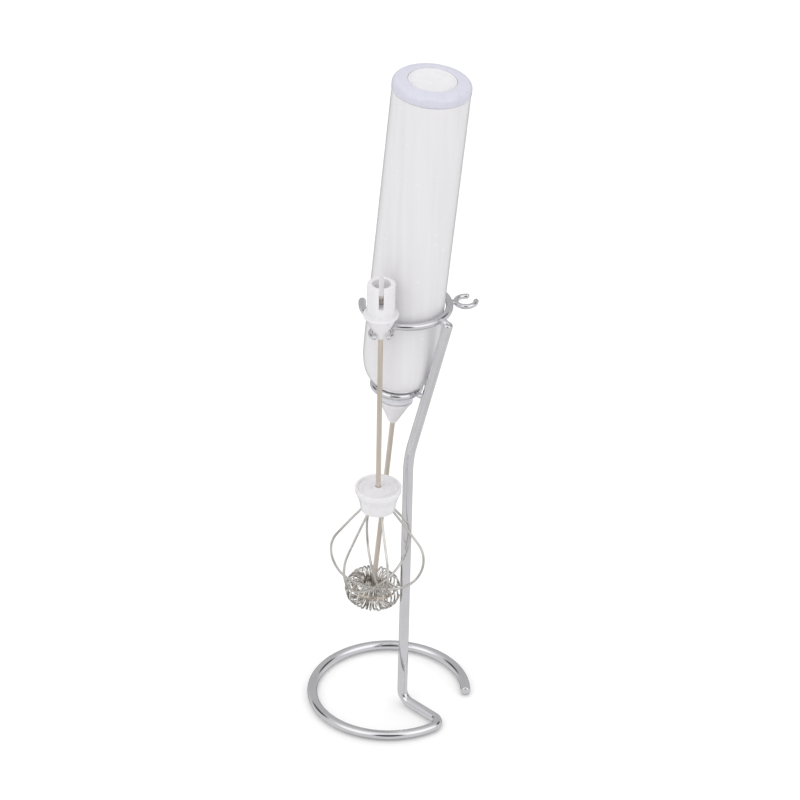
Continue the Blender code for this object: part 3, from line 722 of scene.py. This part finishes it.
def collar(name, place, flange, body, node):
    """Slotted sleeve over a flange and a cone that closes on the shaft."""
    top = flange + COLLAR_TOP
    hole = SHAFT_R + 0.08
    tip = flange - CONE_LENGTH
    profile = [(SLEEVE_R, top, 0.25), (SLEEVE_R, flange + 0.4, 1.1), (FLANGE_R, flange, 0.35),
               (FLANGE_R - 0.25, flange - 0.9, 0.3), (FLANGE_R - 0.75, flange - 1.1, 0.2),
               (SHAFT_R + 0.8, tip + 0.4, 0.8), (SHAFT_R + 0.5, tip, 0.2), (hole, tip, 0.05),
               (hole, flange + BORE_FLOOR, 0.05), (SLEEVE_BORE_R, flange + BORE_FLOOR, 0.3),
               (SLEEVE_BORE_R, top, 0.25)]
    sleeve = bpy.data.objects.new(name + "_blank", revolve(rounded(profile), 128))
    cage = bmesh.new()
    bmesh.ops.create_cube(cage, size=1.0)
    height = SLOT_DEPTH + 3.0
    bmesh.ops.scale(cage, vec=(SLOT_WIDTH, 20.0, height), verts=cage.verts)
    bmesh.ops.translate(cage, vec=(0, 0, top - SLOT_DEPTH + height / 2), verts=cage.verts)
    floor_edges = [edge for edge in cage.edges
                   if max(vertex.co.z for vertex in edge.verts) < top
                   and abs(edge.verts[0].co.y - edge.verts[1].co.y) > 1.0]
    bmesh.ops.bevel(cage, geom=floor_edges, offset=0.55, segments=4, profile=0.5, affect="EDGES")
    tool_mesh = bpy.data.meshes.new(name + "_slot")
    cage.to_mesh(tool_mesh)
    cage.free()
    tool = bpy.data.objects.new(name + "_slot", tool_mesh)
    sleeve.data.transform(Matrix.Scale(1 / MM, 4))
    for item in (sleeve, tool):
        bpy.context.scene.collection.objects.link(item)
    boolean = sleeve.modifiers.new("Slot", "BOOLEAN")
    boolean.object = tool
    graph = bpy.context.evaluated_depsgraph_get()
    mesh = bpy.data.meshes.new_from_object(sleeve.evaluated_get(graph))
    for item in (sleeve, tool):
        bpy.data.objects.remove(item, do_unlink=True)
    mesh.transform(Matrix.Scale(MM, 4))
    finish_piece(name, mesh, place, COLLAR_WHITE, body, [node])


def stem(name, place, top, bottom, body, node):
    """Straight steel shaft with rounded ends."""
    path = [Vector((0, 0, top)), *line(Vector((0, 0, top)), Vector((0, 0, bottom)), 4.0),
            Vector((0, 0, bottom))]
    mesh = sweep(path, SHAFT_R, sides=24, end_round=0.4)
    return finish_piece(name, mesh, place, SHAFT, body, [node])


HUB_TOP = -80.7
HUB_BOTTOM = -91.4
LOOP_WIRE_R = 0.49
LOOP_AZIMUTHS = (-12.0, 46.0, 103.0)
LOOP_STACK = 1.35             # height between crossing loops
LOOP_PROFILE = (              # radius, depth below the hub
    (5.2, -1.0), (5.9, 0.0), (9.9, 5.2), (14.3, 11.2), (17.9, 16.6), (19.1, 21.9),
    (18.2, 27.7), (15.2, 33.1), (10.3, 36.9), (4.8, 38.5), (0.0, 38.9),
)
SPINDLE_R = 3.3
SPINDLE_TOP = -28.9
COIL_CENTRE = -137.1
COIL_OUTER_R = 11.55
COIL_HALF_WIDTH = 3.7
COIL_HALF_HEIGHT = 5.2
COIL_WIRE_R = 0.36
COIL_TURNS = 30
COIL_SPOKE_GAP = 30.0         # degrees left open round the shaft
COIL_RING_R = COIL_OUTER_R - COIL_WIRE_R - COIL_HALF_WIDTH


def coil_stem():
    """Shaft whose lower end turns out and round into the spring's core ring."""
    bend, corner = 2.2, 2.0
    path = [Vector((0, 0, COIL_FLANGE + SHAFT_STUB))]
    path += line(path[0], Vector((0, 0, COIL_CENTRE + bend)), 4.0)
    path += [Vector((bend * (1 - cos(a)), 0, COIL_CENTRE + bend * (1 - sin(a))))
             for a in (radians(9 * k) for k in range(0, 11))]
    path += [Vector((COIL_RING_R - corner - 0.6, 0, COIL_CENTRE))]
    path += circle(corner, -80, 0, 8, (COIL_RING_R - corner, corner, COIL_CENTRE))
    start = degrees(asin(corner / (COIL_RING_R - corner))) + 6
    path += circle(COIL_RING_R, start, 334, 100, (0, 0, COIL_CENTRE))
    mesh = sweep(path, SHAFT_R, sides=20, end_round=0.6)
    finish_piece("coil_stem", mesh, HANDLE, SHAFT, "coil_attachment", ["coil_shaft"])


def coil_loops():
    """The frothing spring: a helix wound round the core ring."""
    gap = COIL_SPOKE_GAP
    steps = 28
    count = COIL_TURNS * steps
    path = []
    for k in range(count + 1):
        turn = 2 * pi * k / steps
        loop = k / steps
        swell = 1.0 + 0.16 * smooth_noise(Vector((loop * 0.9, 3.1, 0.0)))
        stray = 2.6 * smooth_noise(Vector((loop * 1.3, 0.0, 7.7)))
        around = radians(gap / 2 + (360 - gap) * k / count + stray * sin(turn))
        out = COIL_RING_R + COIL_HALF_WIDTH * swell * cos(turn)
        path.append(Vector((out * cos(around), out * sin(around),
                            COIL_CENTRE + COIL_HALF_HEIGHT * swell * sin(turn))))
    mesh = sweep(path, COIL_WIRE_R, sides=10, end_round=0.8)
    finish_piece("coil_loops", mesh, HANDLE, SPRING, "coil_attachment", ["coil_spring"])


def whisk_hub():
    """Hub with a flared lip, a stepped well and a raised boss round the shaft."""
    top, bottom = HUB_TOP, HUB_BOTTOM
    bore = SHAFT_R + 0.1
    profile = [(9.4, top, 0.35), (9.15, top - 2.2, 1.6), (7.8, top - 5.4, 3.0),
               (6.8, bottom, 0.7), (2.6, bottom, 0.2), (2.4, bottom + 0.6, 0.2),
               (bore, bottom + 0.6, 0.1), (bore, top + 0.1, 0.1), (2.2, top + 0.1, 0.3),
               (2.6, top - 0.7, 0.3), (6.1, top - 1.0, 0.3), (6.5, top - 0.75, 0.3),
               (7.9, top - 0.7, 0.3), (8.4, top, 0.3)]
    mesh = revolve(rounded(profile), 112)
    finish_piece("whisk_head", mesh, WHISK, COLLAR_WHITE, "whisk_attachment", ["whisk_hub"])


def balloon_wire(number, azimuth):
    """One loop of the balloon, seated in the hub at both ends."""
    lift = LOOP_STACK * number
    depth = LOOP_PROFILE[-1][1]
    angle = radians(azimuth)
    half = [(r, HUB_BOTTOM - d * (depth - lift) / depth if d > 0 else HUB_BOTTOM - d)
            for r, d in LOOP_PROFILE]
    whole = half + [(-r, z) for r, z in reversed(half[:-1])]
    points = [(r * cos(angle), r * sin(angle), z) for r, z in whole]
    mesh = sweep(smooth_curve(points, 10), LOOP_WIRE_R, sides=14)
    finish_piece(f"balloon_wire_{number + 1}", mesh, WHISK, WIRE, "whisk_attachment",
                 [f"whisk_loop_{number + 1}"])


def spindle():
    """Drive spindle with softened ends."""
    top = SPINDLE_TOP
    bottom = COIL_FLANGE + SHAFT_STUB + 0.4
    profile = [(0.0, top, 0), (SPINDLE_R, top, 0.2), (SPINDLE_R, bottom, 0.6), (0.0, bottom, 0)]
    mesh = revolve(rounded(profile, closed=False), 64, closed=False)
    finish_piece("spindle_end", mesh, HANDLE, GREY, "rotor", ["drive_spindle"])


collar("coil_sleeve", HANDLE, COIL_FLANGE, "coil_attachment", "coil_collar")
coil_stem()
coil_loops()
spindle()
collar("whisk_sleeve", WHISK, 0.0, "whisk_attachment", "whisk_collar")
stem("whisk_stem", WHISK, SHAFT_STUB, HUB_BOTTOM - 0.4, "whisk_attachment", "whisk_shaft")
whisk_hub()
for number, azimuth in enumerate(LOOP_AZIMUTHS):
    balloon_wire(number, azimuth)


# ------------------------------------------------- carried-over nodes

CARRIED = {
    "motor_can": CAN, "motor_end_cap": BLACK, "motor_seat": GREY, "motor_shaft": SHAFT,
    "battery_tray": GREY, "cell_left": JACKET, "cell_right": JACKET,
    "contact_plus": CONTACT, "contact_minus": SPRING, "contact_bridge": CONTACT,
    "switch_leaf": CONTACT, "switch_plate": GREY, "button_spring": SPRING,
    "lead_plus": RED, "lead_minus": BLACK_PVC,
}
for node, look in CARRIED.items():
    for material_slot in frame["nodes"][node].material_slots:
        material_slot.material = look


# -------------------------------------------------------------- studio

def floor():
    """Plain pale floor, wide enough to fill every view."""
    cage = bmesh.new()
    bmesh.ops.create_grid(cage, x_segments=8, y_segments=8, size=6.0)
    mesh = bpy.data.meshes.new("studio_floor")
    cage.to_mesh(mesh)
    cage.free()
    shader = Shader("studio_paper", (0.94, 0.94, 0.94), Roughness=0.8)
    shader.set("Specular IOR Level", 0.1)
    shader.tint(shader.noise(3.0, 2.0), (0.935, 0.935, 0.935), (0.945, 0.945, 0.945))
    mesh.materials.append(shader.material)
    item = bpy.data.objects.new("studio_floor", mesh)
    bpy.context.scene.collection.objects.link(item)
    item.location.z = -0.0002
    item.visible_glossy = False         # polished parts mirror the tent instead


def area_light(name, place, target, size, power):
    lamp = bpy.data.lights.new(name, "AREA")
    lamp.shape = "RECTANGLE"
    lamp.size, lamp.size_y = size
    lamp.energy = power
    item = bpy.data.objects.new(name, lamp)
    bpy.context.scene.collection.objects.link(item)
    item.location = place
    item.rotation_euler = (Vector(target) - Vector(place)).to_track_quat("-Z", "Y").to_euler()
    item.visible_glossy = False


TENT_LIGHT = 0.92             # even light on everything
TENT_MIRRORED = 0.72          # the tent's walls as polished parts mirror them
TENT_PANELS = (               # azimuth from the front, elevation, inner and outer reach, level
    (180, 15, 35, 75, 0.52), (0, 76, 8, 24, 0.98), (-48, 38, 15, 34, 1.22), (48, 38, 15, 34, 1.22),
    (-111, 24, 10, 20, 0.10), (113, 31, 10, 20, 0.10), (0, 22, 13, 24, 0.05),
    (180, -32, 12, 35, 0.14), (0, -90, 10, 45, 0.45),
)


def studio_world():
    """Light tent: even for soft light, with softboxes and dark gaps to mirror."""
    world = bpy.data.worlds.new("studio")
    bpy.context.scene.world = world
    world.use_nodes = True
    tree = world.node_tree
    space = tree.nodes.new("ShaderNodeTexCoord").outputs["Generated"]
    walls = None
    for azimuth, elevation, inner, outer, level in TENT_PANELS:
        side, rise = radians(azimuth), radians(elevation)
        near = tree.nodes.new("ShaderNodeVectorMath")
        near.operation = "DOT_PRODUCT"
        near.inputs[1].default_value = (sin(side) * cos(rise), -cos(side) * cos(rise), sin(rise))
        tree.links.new(space, near.inputs[0])
        edge = tree.nodes.new("ShaderNodeMapRange")
        edge.interpolation_type = "SMOOTHSTEP"
        edge.inputs["From Min"].default_value = cos(radians(outer))
        edge.inputs["From Max"].default_value = cos(radians(inner))
        tree.links.new(near.outputs["Value"], edge.inputs["Value"])
        mix = tree.nodes.new("ShaderNodeMix")
        mix.inputs["A"].default_value = TENT_MIRRORED
        mix.inputs["B"].default_value = level
        tree.links.new(edge.outputs["Result"], mix.inputs["Factor"])
        if walls:
            tree.links.new(walls, mix.inputs["A"])
        walls = mix.outputs["Result"]
    path = tree.nodes.new("ShaderNodeLightPath")
    choose = tree.nodes.new("ShaderNodeMix")
    choose.inputs["A"].default_value = TENT_LIGHT
    tree.links.new(path.outputs["Is Glossy Ray"], choose.inputs["Factor"])
    tree.links.new(walls, choose.inputs["B"])
    tree.links.new(choose.outputs["Result"], tree.nodes["Background"].inputs["Strength"])
    tree.nodes["Background"].inputs["Color"].default_value = (1.0, 1.0, 1.0, 1.0)


CAMERA_RISE = radians(32.33)
CAMERA_DISTANCE = 1.8196
CAMERA_AIM = Vector((0.0047, 0.0, 0.1452))     # from the base ring's centre
CAMERA_LENS = 204.2


def camera():
    data = bpy.data.cameras.new("studio_camera")
    data.lens = CAMERA_LENS
    data.sensor_width = 36.0
    data.clip_start = 0.05
    item = bpy.data.objects.new("studio_camera", data)
    bpy.context.scene.collection.objects.link(item)
    away = Vector((0.0, -cos(CAMERA_RISE), sin(CAMERA_RISE))) * CAMERA_DISTANCE
    item.location = STAND @ (CAMERA_AIM + away)
    item.rotation_euler = (pi / 2 - CAMERA_RISE, 0.0, 0.0)
    bpy.context.scene.camera = item


floor()
studio_world()
area_light("key", (-0.7, -0.9, 1.3), (0, 0, 0.15), (0.9, 0.9), 4.0)
area_light("fill", (1.0, -0.7, 0.9), (0, 0, 0.15), (0.7, 1.0), 2.0)
area_light("top", (0.1, 0.5, 1.5), (0, 0, 0.1), (1.2, 1.2), 4.0)
camera()
bpy.context.scene.view_settings.view_transform = "Standard"
